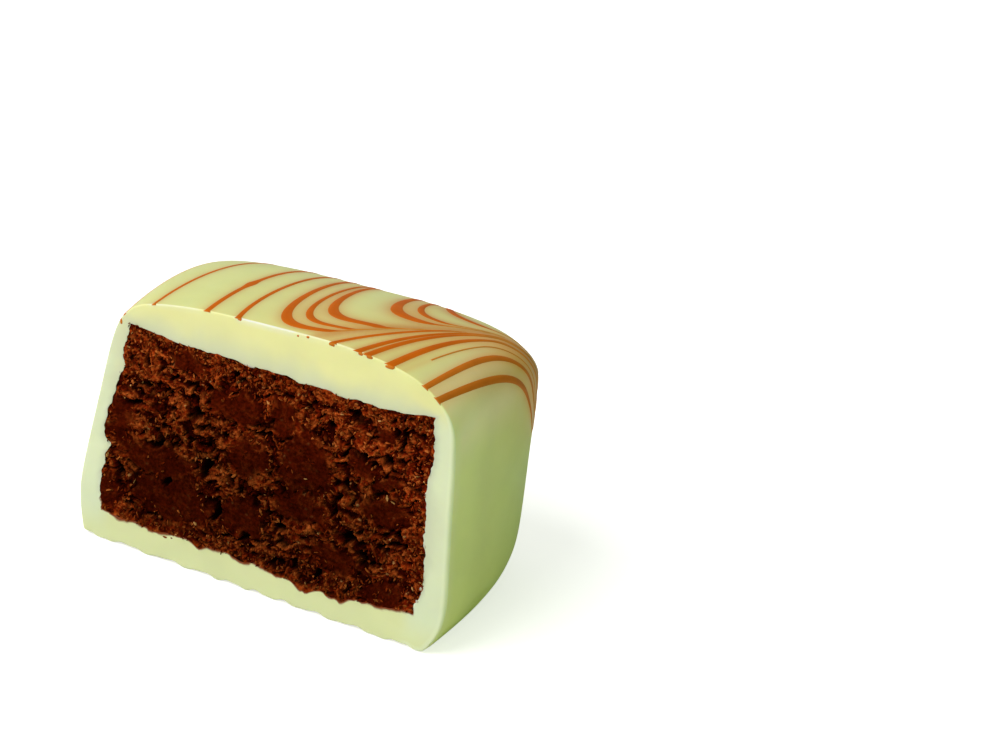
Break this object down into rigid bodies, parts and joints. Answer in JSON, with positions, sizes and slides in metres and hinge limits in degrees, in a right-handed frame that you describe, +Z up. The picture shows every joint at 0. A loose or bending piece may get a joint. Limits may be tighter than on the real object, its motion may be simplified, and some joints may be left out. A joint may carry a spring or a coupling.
{
  "type": "chocolate praline half",
  "caption": "Half of a domed white-coated chocolate praline, cut to show its dark crumb filling, with feathered lines of darker chocolate on the crown.",
  "frame": {"origin": "on the floor under the middle of the half's bounding box", "axes": "+X along the cut, from left to right as the cut is looked at; +Y from the cut to the round back; +Z up"},
  "size_m": [0.03, 0.0188, 0.0214],
  "materials": {
    "white_chocolate": "satin",
    "dark_crumb": "rough"
  },
  "bodies": {
    "root": {"coating": "white_chocolate", "filling": "dark_crumb"}
  },
  "joints": []
}
